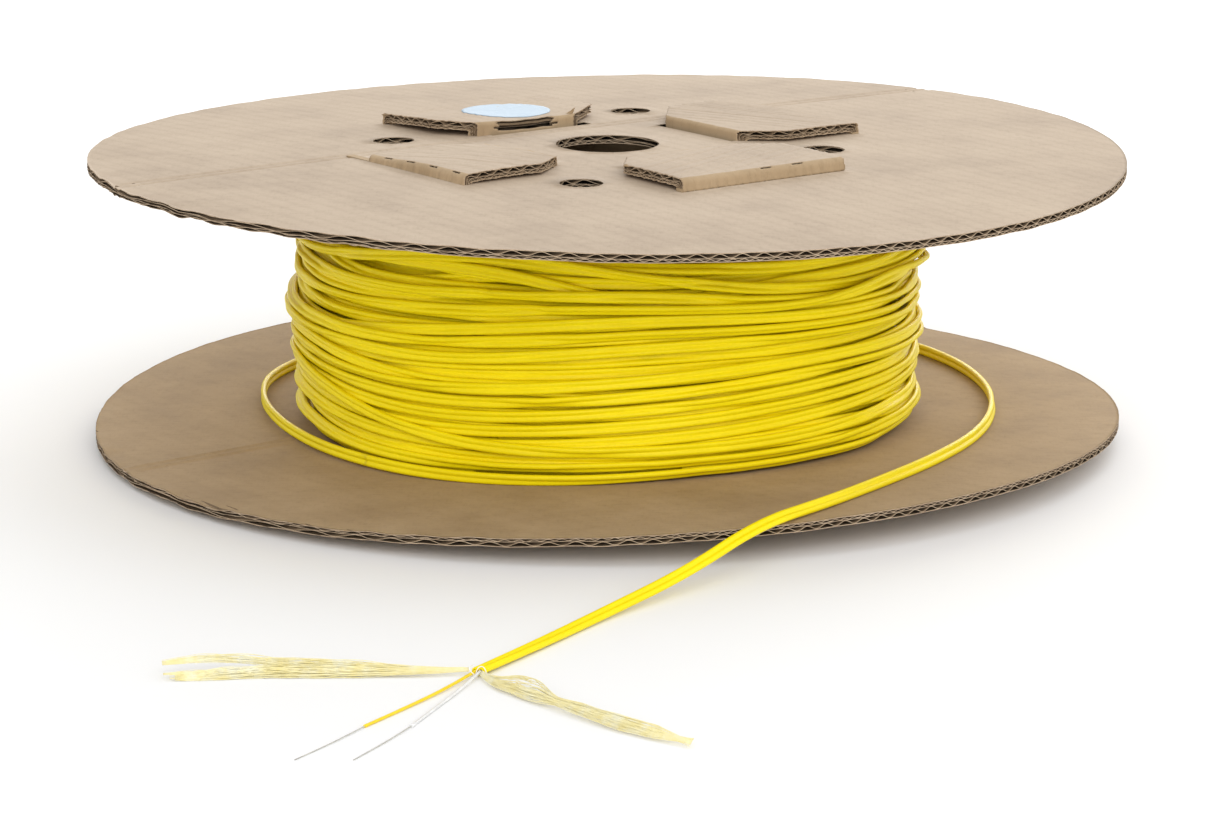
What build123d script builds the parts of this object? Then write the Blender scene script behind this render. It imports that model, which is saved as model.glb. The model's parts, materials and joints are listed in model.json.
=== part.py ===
from build123d import *
import math
import os

# A disposable cable reel of double-wall corrugated board, lying on its lower flange and wound
# with flat two-fibre cable. One scored strip makes the eight-sided core; four of its walls run
# on through slots in each flange and end in flaps that fold over the flange and tuck into it.
# The last turn of cable hangs loose round the core, crosses the flange and ends stripped open.
# Millimetres, +Z up, origin on the reel's axis at the surface that it lies on.

os.makedirs("parts", exist_ok=True)

# ---- driving dimensions -------------------------------------------------------------------
board = 3.0                  # thickness of the double-wall board, flutes slightly crushed
slip = 0.3                   # clearance round everything that slides through or lies on board
floor_gap = 0.25             # how far the lower flaps stay above what the reel lies on

flange_diameter = 360.0
traverse = 93.0              # inside width between the two flanges
hub_bore = 36.0
drive_bore = 14.6
drive_circle = 151.0         # diameter of the circle through the drive holes
drive_angle = -6.5           # direction of the first drive hole, degrees from +X
drive_count = 4

core_apothem = 86.0          # axis to the outer face of a core wall
core_sides = 8
fold_angle = 37.0            # direction that the first folded wall faces
fold_count = 4
flap_margin = 1.4            # each side of a flap stops this far short of the core's corner
flap_shoulder = 54.0         # axis to where a flap starts to taper
tongue_radius = 40.0         # axis to the inner face of a flap's tongue
tongue_width = 43.2
tongue_past = 2.0            # how far a tongue reaches beyond the flange that it goes through
tongue_swing = 1.6           # room in the slot for the tongue's arc as its flap opens
bend_radius = 1.8            # outer radius of a flap's folds
lap_width = 24.0             # glued overlap where the core strip's two ends meet
lap_edge = 9.0               # start of that overlap from the middle of its wall

crease_offset = 34.0         # axis to the middle of the double score line across each flange
crease_spacing = 4.3
crease_depth = 0.35
crease_width = 1.4

winding_diameter = 226.0
winding_bulge = 1.0          # how much the pile's middle stands out past its ends
tail_diameter = 3.0          # round section as large as the 2.0 x 4.1 mm flat cable
buffer_diameter = 0.9
fibre_diameter = 0.3
yarn_width = 5.0
yarn_thickness = 1.8

sticker_diameter = 32.0
sticker_thickness = 0.15
sticker_radius = 60.8        # axis to the sticker's centre, along its flap

# ---- levels and shared shapes worked out from them ---------------------------------------
flap_stack = board + slip + floor_gap
lower_bottom = flap_stack
lower_top = lower_bottom + board
upper_bottom = lower_top + traverse
upper_top = upper_bottom + board
middle = (lower_top + upper_bottom) / 2

core_inner = core_apothem - board
half_turn = math.radians(180 / core_sides)
flap_width = 2 * (core_apothem * math.tan(half_turn) - flap_margin)
stub_width = min(flap_width, 2 * core_inner * math.tan(half_turn))
fold_angles = [fold_angle + 360 / fold_count * i for i in range(fold_count)]
seam_angle = fold_angle + 180 / core_sides * 6


def facing(angle, z=0.0):
    """Horizontal plane at height z whose X axis points away from the reel's axis at an angle."""
    turn = math.radians(angle)
    return Plane(origin=(0, 0, z), x_dir=(math.cos(turn), math.sin(turn), 0), z_dir=(0, 0, 1))


def corner_radius(apothem):
    return apothem / math.cos(half_turn)


# ---- flanges -------------------------------------------------------------------------------
def make_flange(bottom):
    """Round board with its bores, the slots for walls and tongues, and a double score line."""
    with BuildPart() as flange:
        with BuildSketch(Plane.XY.offset(bottom)):
            Circle(flange_diameter / 2)
            Circle(hub_bore / 2, mode=Mode.SUBTRACT)
            with PolarLocations(drive_circle / 2, drive_count, start_angle=drive_angle):
                Circle(drive_bore / 2, mode=Mode.SUBTRACT)
        extrude(amount=board)
        for angle in fold_angles:
            with BuildSketch(facing(angle, bottom)):
                with Locations((core_inner + board / 2, 0)):
                    Rectangle(board + 2 * slip, stub_width + 2 * slip)
                slot = board + slip + tongue_swing
                with Locations((tongue_radius - tongue_swing + slot / 2, 0)):
                    Rectangle(slot, tongue_width + 2 * slip)
            extrude(amount=board, mode=Mode.SUBTRACT)
        for face_z in (bottom, bottom + board - crease_depth):
            with BuildSketch(facing(fold_angle + 90, face_z)):
                for side in (-1, 1):
                    with Locations((crease_offset + side * crease_spacing / 2, 0)):
                        Rectangle(crease_width, 2 * flange_diameter)
            extrude(amount=crease_depth, mode=Mode.SUBTRACT)
    return flange


lower_flange = make_flange(lower_bottom)
lower_flange.part.label = "lower_flange"
export_step(lower_flange.part, "parts/lower_flange.step")

upper_flange = make_flange(upper_bottom)
upper_flange.part.label = "upper_flange"
export_step(upper_flange.part, "parts/upper_flange.step")

# ---- core strip ----------------------------------------------------------------------------
with BuildPart() as core_strip:
    with BuildSketch(facing(fold_angle + 180 / core_sides, lower_top)):
        RegularPolygon(corner_radius(core_apothem), core_sides)
        RegularPolygon(corner_radius(core_inner), core_sides, mode=Mode.SUBTRACT)
    extrude(amount=traverse)
    with BuildSketch(facing(seam_angle, lower_top)):
        with Locations((core_inner - board / 2, lap_edge + lap_width / 2)):
            Rectangle(board, lap_width)
    extrude(amount=traverse)
    for angle in fold_angles:
        with BuildSketch(facing(angle)):
            with Locations((core_inner + board / 2, 0)):
                Rectangle(board, stub_width)
        extrude(amount=upper_top)
core_strip.part.label = "core_strip"
export_step(core_strip.part, "parts/core_strip.step")


# ---- folded flaps --------------------------------------------------------------------------
def make_flap(angle, outward, root, flange_face):
    """Flap that lies on a flange face, with a tongue bent back through the flange.

    outward is +1 above the upper flange and -1 below the lower one; root is the distance from
    the axis to the flap's fold.
    """
    near = flange_face + outward * slip
    with BuildPart() as flap:
        with BuildSketch(facing(angle, near)):
            with BuildLine():
                Polyline(
                    (root, -flap_width / 2),
                    (root, flap_width / 2),
                    (flap_shoulder, flap_width / 2),
                    (tongue_radius, tongue_width / 2),
                    (tongue_radius, -tongue_width / 2),
                    (flap_shoulder, -flap_width / 2),
                    close=True,
                )
            make_face()
        extrude(amount=outward * board)
        with BuildSketch(facing(angle, near)):
            with Locations((tongue_radius + board / 2, 0)):
                Rectangle(board, tongue_width)
        extrude(amount=-outward * (slip + board + tongue_past))
        outer_edges = flap.edges().group_by(Axis.Z)[-1 if outward > 0 else 0]
        across = outer_edges.sort_by(lambda edge: Vector(edge.center().X, edge.center().Y).length)
        fillet([across[0], across[-1]], min(bend_radius, 0.9 * board))
    return flap


corner_names = ["back_right", "back_left", "front_left", "front_right"]
upper_root = core_apothem
lower_root = core_inner - slip
for corner, angle in zip(corner_names, fold_angles):
    upper_flap = make_flap(angle, 1, upper_root, upper_top)
    upper_flap.part.label = f"upper_flap_{corner}"
    export_step(upper_flap.part, f"parts/upper_flap_{corner}.step")

    lower_flap = make_flap(angle, -1, lower_root, lower_bottom)
    lower_flap.part.label = f"lower_flap_{corner}"
    export_step(lower_flap.part, f"parts/lower_flap_{corner}.step")

# ---- blank sticker on the back left flap ---------------------------------------------------
sticker_z = upper_top + slip + board
with BuildPart() as sticker:
    with BuildSketch(facing(fold_angles[1], sticker_z)):
        with Locations((sticker_radius, 0)):
            Circle(sticker_diameter / 2)
    extrude(amount=sticker_thickness)
sticker.part.label = "sticker"
export_step(sticker.part, "parts/sticker.step")

# ---- wound cable ---------------------------------------------------------------------------
winding_radius = winding_diameter / 2
winding_low = lower_top + slip
winding_high = upper_bottom - slip
with BuildPart() as cable_winding:
    with BuildSketch(Plane.XZ):
        with BuildLine():
            Line((0, winding_low), (winding_radius - winding_bulge, winding_low))
            ThreePointArc(
                (winding_radius - winding_bulge, winding_low),
                (winding_radius, middle),
                (winding_radius - winding_bulge, winding_high),
            )
            Line((winding_radius - winding_bulge, winding_high), (0, winding_high))
            Line((0, winding_high), (0, winding_low))
        make_face()
    revolve(axis=Axis.Z)
    with BuildSketch(facing(fold_angle + 180 / core_sides, winding_low)):
        RegularPolygon(corner_radius(core_apothem + slip), core_sides)
    extrude(amount=winding_high - winding_low, mode=Mode.SUBTRACT)
cable_winding.part.label = "cable_winding"
export_step(cable_winding.part, "parts/cable_winding.step")

# ---- loose tail of the cable ---------------------------------------------------------------
# From the pile's front left, clockwise round behind it, back over the flange's front right
# rim and down on to the surface that the reel lies on.
tail_points = [
    (-79.8, -79.8, 8.7),
    (-101.6, -51.8, 8.7),
    (-115.2, -22.4, 8.7),
    (-123.7, 10.8, 8.9),
    (-123.6, 45.0, 9.3),
    (-106.6, 80.3, 9.6),
    (-76.6, 113.6, 9.9),
    (-34.2, 137.3, 9.9),
    (15.3, 145.2, 9.7),
    (65.6, 134.5, 9.7),
    (106.0, 106.0, 9.7),
    (128.0, 68.1, 9.9),
    (137.2, 24.2, 10.4),
    (135.5, -19.0, 11.1),
    (125.4, -58.5, 11.9),
    (107.9, -93.8, 12.5),
    (87.5, -124.8, 12.9),
    (68.5, -152.5, 13.5),
    (47.5, -180.5, 14.6),
    (24.0, -206.0, 6.0),
    (-1.5, -235.0, 1.6),
    (-19.5, -265.0, 1.6),
    (-36.4, -291.0, 1.6),
]

# Stripped end: two tight buffers that start just inside the jacket, the bare fibre in each, and
# two bundles of strength yarn folded back beside them.
yellow_buffer_points = [(-36.6, -290.2, 1.6), (-43.2, -302.0, 0.9), (-53.5, -318.5, 0.5), (-65.5, -337.0, 0.5)]
clear_buffer_points = [(-35.6, -290.9, 1.6), (-40.0, -303.5, 0.9), (-46.8, -320.5, 0.5), (-52.8, -337.0, 0.5)]
yellow_fibre_points = [(-64.7, -335.8, 0.5), (-70.0, -345.0, 0.4), (-75.8, -354.5, 0.25), (-82.2, -364.2, 0.2)]
clear_fibre_points = [(-52.3, -335.6, 0.5), (-56.6, -345.0, 0.4), (-61.5, -354.5, 0.25), (-66.7, -364.3, 0.2)]
left_yarn_points = [
    (-37.8, -289.3, 1.4),
    (-49.5, -288.0, 1.2),
    (-63.0, -282.0, 1.1),
    (-79.0, -278.8, 1.1),
    (-94.0, -278.0, 1.1),
    (-109.5, -282.0, 1.1),
    (-124.7, -289.7, 1.1),
]
right_yarn_points = [
    (-33.2, -292.4, 1.4),
    (-30.8, -304.5, 1.2),
    (-22.5, -315.0, 1.1),
    (-9.0, -327.8, 1.1),
    (5.5, -341.5, 1.1),
    (22.4, -354.0, 1.1),
]


def bend_radii(points):
    """Largest arc that fits each inner point: 0.45 of the shorter run over tan(half the turn)."""
    spots = [Vector(*point) for point in points]
    radii = []
    for before, here, after in zip(spots, spots[1:], spots[2:]):
        turn = math.radians((here - before).get_angle(after - here))
        shorter = min((here - before).length, (after - here).length)
        radii.append(0.45 * shorter / math.tan(turn / 2))
    return radii


def route_of(points):
    """Straight runs joined by tangent arcs, as one wire."""
    return FilletPolyline(*points, radius=bend_radii(points))


def report_route(name, part, wire, area, points):
    """Print a route's length, its tightest arc and its volume against section times length."""
    ratio = part.volume / (area * wire.length)
    print(f"{name}: length {wire.length:.1f}, tightest radius {min(bend_radii(points)):.1f}, "
          f"volume ratio {ratio:.3f}")


def make_strand(points, diameter, name):
    """Round strand along a route."""
    with BuildPart() as strand:
        with BuildLine() as line:
            route_of(points)
        with BuildSketch(Plane(origin=points[0], z_dir=line.wire() % 0)):
            Circle(diameter / 2)
        sweep(path=line.wire())
    report_route(name, strand.part, line.wire(), math.pi * diameter ** 2 / 4, points)
    strand.part.label = name
    export_step(strand.part, f"parts/{name}.step")
    return strand


def make_yarn(points, name):
    """Flat bundle of strength yarn, kept level along its route."""
    with BuildPart() as yarn:
        with BuildLine() as line:
            route_of(points)
        along = line.wire() % 0
        across = Vector(-along.Y, along.X, 0)
        with BuildSketch(Plane(origin=points[0], x_dir=across, z_dir=along)):
            Ellipse(yarn_width / 2, yarn_thickness / 2)
        sweep(path=line.wire())
    report_route(name, yarn.part, line.wire(), math.pi * yarn_width * yarn_thickness / 4, points)
    yarn.part.label = name
    export_step(yarn.part, f"parts/{name}.step")
    return yarn


cable_tail = make_strand(tail_points, tail_diameter, "cable_tail")
yellow_buffer = make_strand(yellow_buffer_points, buffer_diameter, "yellow_buffer")
clear_buffer = make_strand(clear_buffer_points, buffer_diameter, "clear_buffer")
yellow_fibre = make_strand(yellow_fibre_points, fibre_diameter, "yellow_fibre")
clear_fibre = make_strand(clear_fibre_points, fibre_diameter, "clear_fibre")
left_yarn = make_yarn(left_yarn_points, "left_yarn")
right_yarn = make_yarn(right_yarn_points, "right_yarn")
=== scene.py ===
"""Looks of the cable reel: board flanges with real flutes, folded flaps, wound flat cable and its
stripped end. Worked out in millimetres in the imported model's frame, and written in metres."""

import json
import math

import bpy
import numpy as np
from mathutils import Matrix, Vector
from mathutils.geometry import delaunay_2d_cdt


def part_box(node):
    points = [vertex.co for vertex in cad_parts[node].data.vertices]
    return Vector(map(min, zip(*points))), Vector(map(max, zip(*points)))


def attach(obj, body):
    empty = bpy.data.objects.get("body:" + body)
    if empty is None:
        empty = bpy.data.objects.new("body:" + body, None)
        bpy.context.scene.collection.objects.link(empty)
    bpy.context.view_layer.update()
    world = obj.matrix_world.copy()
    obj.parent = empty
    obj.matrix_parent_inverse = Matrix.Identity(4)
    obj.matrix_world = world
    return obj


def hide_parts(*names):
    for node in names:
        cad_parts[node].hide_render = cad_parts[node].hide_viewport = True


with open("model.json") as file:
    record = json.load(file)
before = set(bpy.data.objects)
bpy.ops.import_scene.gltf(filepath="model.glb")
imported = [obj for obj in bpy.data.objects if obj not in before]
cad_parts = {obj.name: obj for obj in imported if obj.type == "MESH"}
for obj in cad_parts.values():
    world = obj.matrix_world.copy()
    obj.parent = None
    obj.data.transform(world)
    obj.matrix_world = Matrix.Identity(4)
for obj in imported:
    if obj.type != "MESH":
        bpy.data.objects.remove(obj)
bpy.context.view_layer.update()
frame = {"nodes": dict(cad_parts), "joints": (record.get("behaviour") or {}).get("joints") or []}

MM = 0.001


def box_mm(node):
    """Lowest and highest corner of a CAD node in millimetres."""
    low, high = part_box(node)
    return np.array(low) / MM, np.array(high) / MM


# ---- sizes read from the frame ---------------------------------------------------------------
LOWER_LOW, LOWER_HIGH = box_mm("lower_flange")
UPPER_LOW, UPPER_HIGH = box_mm("upper_flange")
RIM = UPPER_HIGH[0]
BOARD = UPPER_HIGH[2] - UPPER_LOW[2]
LOWER_TOP = LOWER_HIGH[2]
UPPER_BOTTOM = UPPER_LOW[2]
UPPER_TOP = UPPER_HIGH[2]
PILE_RADIUS = box_mm("cable_winding")[1][0]
JOINTS = {j["child"]: j for j in frame["joints"]}

# ---- the board -------------------------------------------------------------------------------
HUB_RADIUS = 18.0
DRIVE_RADIUS = 7.3
DRIVE_CIRCLE = 75.5
DRIVE_ANGLES = [math.radians(-6.5 + 90 * i) for i in range(4)]
FOLD_ANGLES = [math.radians(37 + 90 * i) for i in range(4)]
FLUTE_TURN = math.radians(37)      # flutes follow each other in this direction and run across it
FLUTE_COS, FLUTE_SIN = math.cos(FLUTE_TURN), math.sin(FLUTE_TURN)
CREASE_OFFSET, CREASE_SPACING = 34.0, 4.3
CREASE_DEPTH, CREASE_WIDTH = 0.6, 0.9
LINER = 0.28                       # paper of the outer liners
MIDDLE_LINER = (1.72, 1.94)        # depths of the liner between the two rows of flutes
MEDIUM = 0.2                       # fluted paper
COARSE_PITCH, FINE_PITCH = 6.4, 3.2
WALL_SLOT = (82.7, 86.3, 34.5)     # nearest, furthest from the axis, and half its width
TONGUE_SLOT = (38.1, 43.3, 21.9)
FACE, BACK, FLUTE, CUT = range(4)  # material slots of every board piece
LOWER_BEND = (0.5874, 0.0277)      # direction of the line a flange bends about, and how much
LOWER_TILT = 0.0098
UPPER_BEND = (0.6479, 0.0189)
UPPER_BOWL, UPPER_TILT = 0.0056, 0.0017
WORST_WEAR, WEAR_SPREAD = math.radians(-138), 0.62

# ---- the cable -------------------------------------------------------------------------------
LOBE = 1.0                         # radius of each half of the flat cable
LOBE_GAP = 2.1                     # between the middles of its halves
CABLE_WIDTH = LOBE_GAP + 2 * LOBE
TAIL_POINTS = [
    (-79.8, -79.8, 8.7), (-89.2, -70.2, 8.7), (-102.3, -51.0, 8.7), (-115.2, -22.4, 8.7),
    (-123.7, 10.8, 8.9),
    (-123.6, 45.0, 9.3), (-106.6, 80.3, 9.6), (-76.6, 113.6, 9.9), (-34.2, 137.3, 9.9),
    (15.3, 145.2, 9.7), (65.6, 134.5, 9.7), (106.0, 106.0, 9.7), (128.0, 68.1, 9.9),
    (137.2, 24.2, 10.4), (135.5, -19.0, 11.1), (125.4, -58.5, 11.9), (107.9, -93.8, 12.5),
    (87.5, -124.8, 12.9), (68.5, -152.5, 13.5), (47.5, -180.5, 14.6), (24.0, -206.0, 6.0),
    (-1.5, -235.0, 1.6), (-19.5, -265.0, 1.6), (-36.4, -291.0, 1.6),
]
YELLOW_BUFFER_POINTS = [
    (-36.6, -290.2, 1.6), (-43.2, -302.0, 0.9), (-53.5, -318.5, 0.5), (-65.5, -337.0, 0.5),
]
CLEAR_BUFFER_POINTS = [
    (-35.6, -290.9, 1.6), (-40.0, -303.5, 0.9), (-46.8, -320.5, 0.5), (-52.8, -337.0, 0.5),
]
YELLOW_FIBRE_POINTS = [
    (-64.7, -335.8, 0.5), (-70.0, -345.0, 0.4), (-75.8, -354.5, 0.25), (-82.2, -364.2, 0.2),
]
CLEAR_FIBRE_POINTS = [
    (-52.3, -335.6, 0.5), (-56.6, -345.0, 0.4), (-61.5, -354.5, 0.25), (-66.7, -364.3, 0.2),
]
LEFT_YARN_POINTS = [
    (-37.8, -289.3, 1.6), (-49.5, -291.0, 1.8), (-63.0, -290.8, 2.0), (-79.0, -290.5, 2.2),
    (-94.0, -290.0, 2.3), (-109.5, -291.0, 2.3), (-124.7, -294.0, 2.3),
]
RIGHT_YARN_POINTS = [
    (-35.8, -291.6, 1.6), (-33.0, -300.5, 1.8), (-22.5, -311.5, 2.3), (-9.0, -326.8, 2.5),
    (5.5, -341.5, 2.4), (22.4, -354.0, 1.6),
]


# ---- small tools -----------------------------------------------------------------------------
def smooth_step(low, high, value):
    t = np.clip((np.asarray(value, float) - low) / (high - low), 0, 1)
    return t * t * (3 - 2 * t)


def hill(value, middle, width):
    """Smooth bump of height 1 round a middle."""
    return np.exp(-((value - middle) / width) ** 2)


def ripple(seed, count, first, last):
    """Seeded wavy function of an angle, about -1 to 1, which closes on itself after a turn."""
    rng = np.random.default_rng(seed)
    waves = rng.integers(first, last + 1, count)
    phases = rng.random(count) * 2 * math.pi
    weights = 0.5 + rng.random(count)
    weights = weights / np.sqrt((weights ** 2).sum() / 2) / 1.6

    def value(angle):
        angle = np.asarray(angle, float)[..., None]
        return (weights * np.sin(waves * angle + phases)).sum(-1)
    return value


def quads(*corners):
    """Four-sided faces from four grids of point numbers."""
    return np.stack(corners, -1).reshape(-1, 4)


def link(name, data, place=(0, 0, 0), turn=(0, 0, 0)):
    """New object in the scene."""
    made = bpy.data.objects.new(name, data)
    made.location, made.rotation_euler = place, turn
    bpy.context.scene.collection.objects.link(made)
    return made


def carry(piece, body, stands_for):
    """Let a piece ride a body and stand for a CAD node."""
    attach(piece, body)
    if stands_for:
        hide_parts(stands_for)
    return piece


class Parts:
    """Points and faces of one mesh, gathered piece by piece."""

    def __init__(self):
        self.points, self.faces, self.slots, self.flat, self.count = [], [], [], [], 0

    def add(self, points, faces=(), slot=0):
        """Add points, and faces counted from the first of them; returns that point's number."""
        points, start = np.asarray(points, float).reshape(-1, 3), self.count
        self.points.append(points)
        self.count += len(points)
        self.join(faces, slot, False, start)
        return start

    def join(self, faces, slot=0, flat=False, start=0):
        """Add faces between points that are there already."""
        faces = (np.asarray(faces, int) + start).tolist()
        self.faces.extend(faces)
        self.slots += np.broadcast_to(slot, len(faces)).tolist()
        self.flat += [flat] * len(faces)

    def build(self, name, materials):
        mesh = bpy.data.meshes.new(name)
        mesh.from_pydata((np.concatenate(self.points) * MM).tolist(), [], self.faces)
        for material in materials:
            mesh.materials.append(material)
        mesh.polygons.foreach_set("material_index", self.slots)
        mesh.polygons.foreach_set("use_smooth", [not f for f in self.flat])
        mesh.update()
        return link(name, mesh)


def add_sheet(parts, middle, normal, half, slot, keep=None, rim_slot=CUT):
    """Closed sheet round a grid of middle points, left out where keep says so."""
    nu, nv = middle.shape[:2]
    if keep is None:
        keep = np.ones((nu - 1, nv - 1), bool)
    points = np.concatenate([(middle + normal * half).reshape(-1, 3),
                             (middle - normal * half).reshape(-1, 3)])
    index = np.arange(nu * nv).reshape(nu, nv)
    a, b = index[:-1, :-1][keep], index[1:, :-1][keep]
    c, d = index[1:, 1:][keep], index[:-1, 1:][keep]
    under = nu * nv
    padded = np.pad(keep, 1)
    rims = []
    for here, step in (((a, b), (0, -1)), ((b, c), (1, 0)), ((c, d), (0, 1)), ((d, a), (-1, 0))):
        beside = padded[1 + step[0]:nu + step[0], 1 + step[1]:nv + step[1]][keep]
        p, q = here[0][~beside], here[1][~beside]
        rims.append(quads(q, p, p + under, q + under))
    faces = np.concatenate([quads(a, b, c, d), quads(d, c, b, a) + under])
    edge = np.concatenate(rims)
    used = np.unique(np.concatenate([faces, edge]))
    lookup = np.zeros(len(points), int)
    lookup[used] = np.arange(len(used))
    start = parts.add(points[used], lookup[faces], np.tile(np.broadcast_to(slot, keep.shape)[keep], 2))
    parts.join(lookup[edge], rim_slot, True, start)


def sweep(parts, centres, across, out, section, caps=True):
    """Tube: section is a closed loop of (across, out) offsets, one row for each centre or one for all."""
    section = np.broadcast_to(section, (len(centres),) + np.shape(section)[-2:])
    rings = (centres[:, None] + section[..., :1] * across[:, None] + section[..., 1:] * out[:, None])
    index = np.arange(rings.shape[0] * rings.shape[1]).reshape(rings.shape[:2])
    after = np.roll(index, -1, 1)
    start = parts.add(rings, quads(index[:-1], index[1:], after[1:], after[:-1]))
    if caps:
        parts.join([index[0], index[-1][::-1]], 0, True, start)


def nurbs_line(points, resolution=16):
    """Points along the smooth line that a route's points control, in millimetres."""
    data = bpy.data.curves.new("route", "CURVE")
    data.dimensions = "3D"
    spline = data.splines.new("NURBS")
    spline.points.add(len(points) - 1)
    for place, point in zip(spline.points, points):
        place.co = (*[v * MM for v in point], 1)
    spline.order_u = 3
    spline.use_endpoint_u = True
    spline.resolution_u = resolution
    data.resolution_u = resolution
    holder = bpy.data.objects.new("route", data)
    mesh = bpy.data.meshes.new_from_object(holder)
    line = np.array([v.co for v in mesh.vertices], float) / MM
    bpy.data.meshes.remove(mesh)
    bpy.data.curves.remove(data)
    return line


def along(line):
    """Length along a line at each of its points."""
    return np.concatenate([[0], np.cumsum(np.linalg.norm(np.diff(line, axis=0), axis=1))])


def share_along(line):
    """The same as a share of the whole length."""
    return along(line) / along(line)[-1]


def tangents(line):
    t = np.gradient(line, axis=0)
    return t / np.linalg.norm(t, axis=1, keepdims=True)


def frames(line, lean):
    """Across and out directions: across stands up and leans to the route's left by lean radians."""
    t = tangents(line)
    side = np.stack([-t[:, 1], t[:, 0], np.zeros(len(t))], 1)
    side /= np.linalg.norm(side, axis=1, keepdims=True)
    up = np.cross(t, side)
    lean = np.broadcast_to(lean, len(line))[:, None]
    across = up * np.cos(lean) + side * np.sin(lean)
    return across, np.cross(across, t)


def round_section(radius, sides=12):
    angle = np.arange(sides) / sides * 2 * math.pi
    ring = np.stack([np.cos(angle), np.sin(angle)], 1)
    return np.asarray(radius, float)[..., None, None] * ring


def cable_section(steps):
    """Figure-of-eight outline of the flat cable, wide along its first axis."""
    web = math.radians(27)
    swing = np.linspace(-math.pi + web, math.pi - web, steps)
    right = np.stack([LOBE_GAP / 2 + LOBE * np.cos(swing), LOBE * np.sin(swing)], 1)
    waist = np.array([[0.0, LOBE * math.sin(web) - 0.02]])
    return np.concatenate([right, waist, -right, -waist])


# ---- camera, floor and light -----------------------------------------------------------------
LENS, SENSOR = 113.95, 36
CAMERA_PLACE, CAMERA_TILT = (-0.00004, -1.3251, 0.3271), math.radians(90 - 13.683)
FLOOR_HALF = 14
LIGHTS = [                         # name, place, target, size, watts
    ("top_light", (0.9, 0.9, 2.4), (0, 0, 0.05), (2.6, 2.0), 10),
    ("front_light", (0.15, -2.4, 1.1), (0, 0, 0.06), (2.4, 1.4), 30),
    ("back_light", (0.5, 2.4, 1.0), (0, 0, 0.1), (2.6, 0.9), 40),
    ("right_light", (2.2, -0.6, 1.3), (0, 0, 0.06), (1.4, 1.4), 7),
]


def make_camera():
    data = bpy.data.cameras.new("camera")
    data.sensor_width, data.lens = SENSOR, LENS
    data.clip_start, data.clip_end = 0.05, 60
    bpy.context.scene.camera = link("camera", data, CAMERA_PLACE, (CAMERA_TILT, 0, 0))


def make_studio():
    scene = bpy.context.scene
    scene.view_settings.view_transform = "Standard"
    world = bpy.data.worlds.new("studio")
    world.use_nodes = True
    background = world.node_tree.nodes["Background"].inputs
    background["Color"].default_value = (1, 1, 1, 1)
    background["Strength"].default_value = 0.8
    scene.world = world
    for name, place, target, size, watts in LIGHTS:
        data = bpy.data.lights.new(name, "AREA")
        data.shape = "RECTANGLE"
        data.size, data.size_y = size
        data.energy = watts
        aim = (Vector(target) - Vector(place)).to_track_quat("-Z", "Y").to_euler()
        link(name, data, place, aim)
    mesh = bpy.data.meshes.new("floor")
    corners = [(x * FLOOR_HALF, y * FLOOR_HALF, 0) for x, y in ((-1, -1), (1, -1), (1, 1), (-1, 1))]
    mesh.from_pydata(corners, [], [(0, 1, 2, 3)])
    look = Look("floor", 0.9)
    look.put(look.shader, {"Base Color": (0.9, 0.9, 0.9)})
    mesh.materials.append(look.material)
    link("floor", mesh)


# ---- materials -------------------------------------------------------------------------------
WHITE = (1, 1, 1)


class Look:
    """A material that is put together from nodes."""

    def __init__(self, name, roughness, specular=0.5):
        self.material = bpy.data.materials.new(name)
        self.material.use_nodes = True
        self.tree = self.material.node_tree
        self.shader = self.tree.nodes["Principled BSDF"]
        self.put(self.shader, {"Roughness": roughness, "Specular IOR Level": specular})

    def put(self, item, sockets):
        """Link or set a node's sockets."""
        for key, value in sockets.items():
            socket = item.inputs[key]
            if isinstance(value, bpy.types.NodeSocket):
                self.tree.links.new(value, socket)
            else:
                socket.default_value = (*value, 1) if socket.type == "RGBA" else value

    def node(self, kind, sockets, output=0, **attributes):
        """Add a node and give back one of its outputs."""
        made = self.tree.nodes.new("ShaderNode" + kind)
        for key, value in attributes.items():
            setattr(made, key, value)
        self.put(made, sockets)
        return made.outputs[output]

    def turned(self, angle=0, scale=(1, 1, 1)):
        """Object coordinates turned about Z and scaled."""
        place = self.node("TexCoord", {}, "Object")
        return self.node("Mapping", {"Rotation": (0, 0, angle), "Scale": scale, "Vector": place})

    def noise(self, vector, scale, detail=4.0, roughness=0.6):
        sockets = {"Scale": scale, "Detail": detail, "Roughness": roughness, "Vector": vector}
        return self.node("TexNoise", sockets, "Fac")

    def ramp(self, value, *stops):
        """Colour of a value between stops, each a position and a colour."""
        colour = self.node("ValToRGB", {"Fac": value})
        elements = colour.node.color_ramp.elements
        while len(elements) < len(stops):
            elements.new(0.5)
        for element, (at, tone) in zip(elements, stops):
            element.position = at
            element.color = (*tone, 1)
        return colour

    def multiply(self, strength, first, second):
        sockets = {0: strength, 6: first, 7: second}
        return self.node("Mix", sockets, 2, data_type="RGBA", blend_type="MULTIPLY")

    def sum(self, first, first_weight, second, second_weight):
        """Two values added, each with its weight."""
        weighed = [self.node("Math", {0: value, 1: weight}, operation="MULTIPLY")
                   for value, weight in ((first, first_weight), (second, second_weight))]
        return self.node("Math", {0: weighed[0], 1: weighed[1]}, operation="ADD")

    def finish(self, colour, height=None, strength=0.0, distance=0.0, **constants):
        """Link the colour and the bump, set the shader's other values by name, and give the material."""
        self.put(self.shader, {"Base Color": colour})
        self.put(self.shader, {key.replace("_", " "): value for key, value in constants.items()})
        if height is not None:
            sockets = {"Strength": strength, "Distance": distance, "Height": height}
            self.put(self.shader, {"Normal": self.node("Bump", sockets)})
        return self.material

    def range(self, value, low, high):
        """A value from 0 to 1 spread between two others."""
        return self.node("MapRange", {"To Min": low, "To Max": high, "Value": value})


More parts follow.
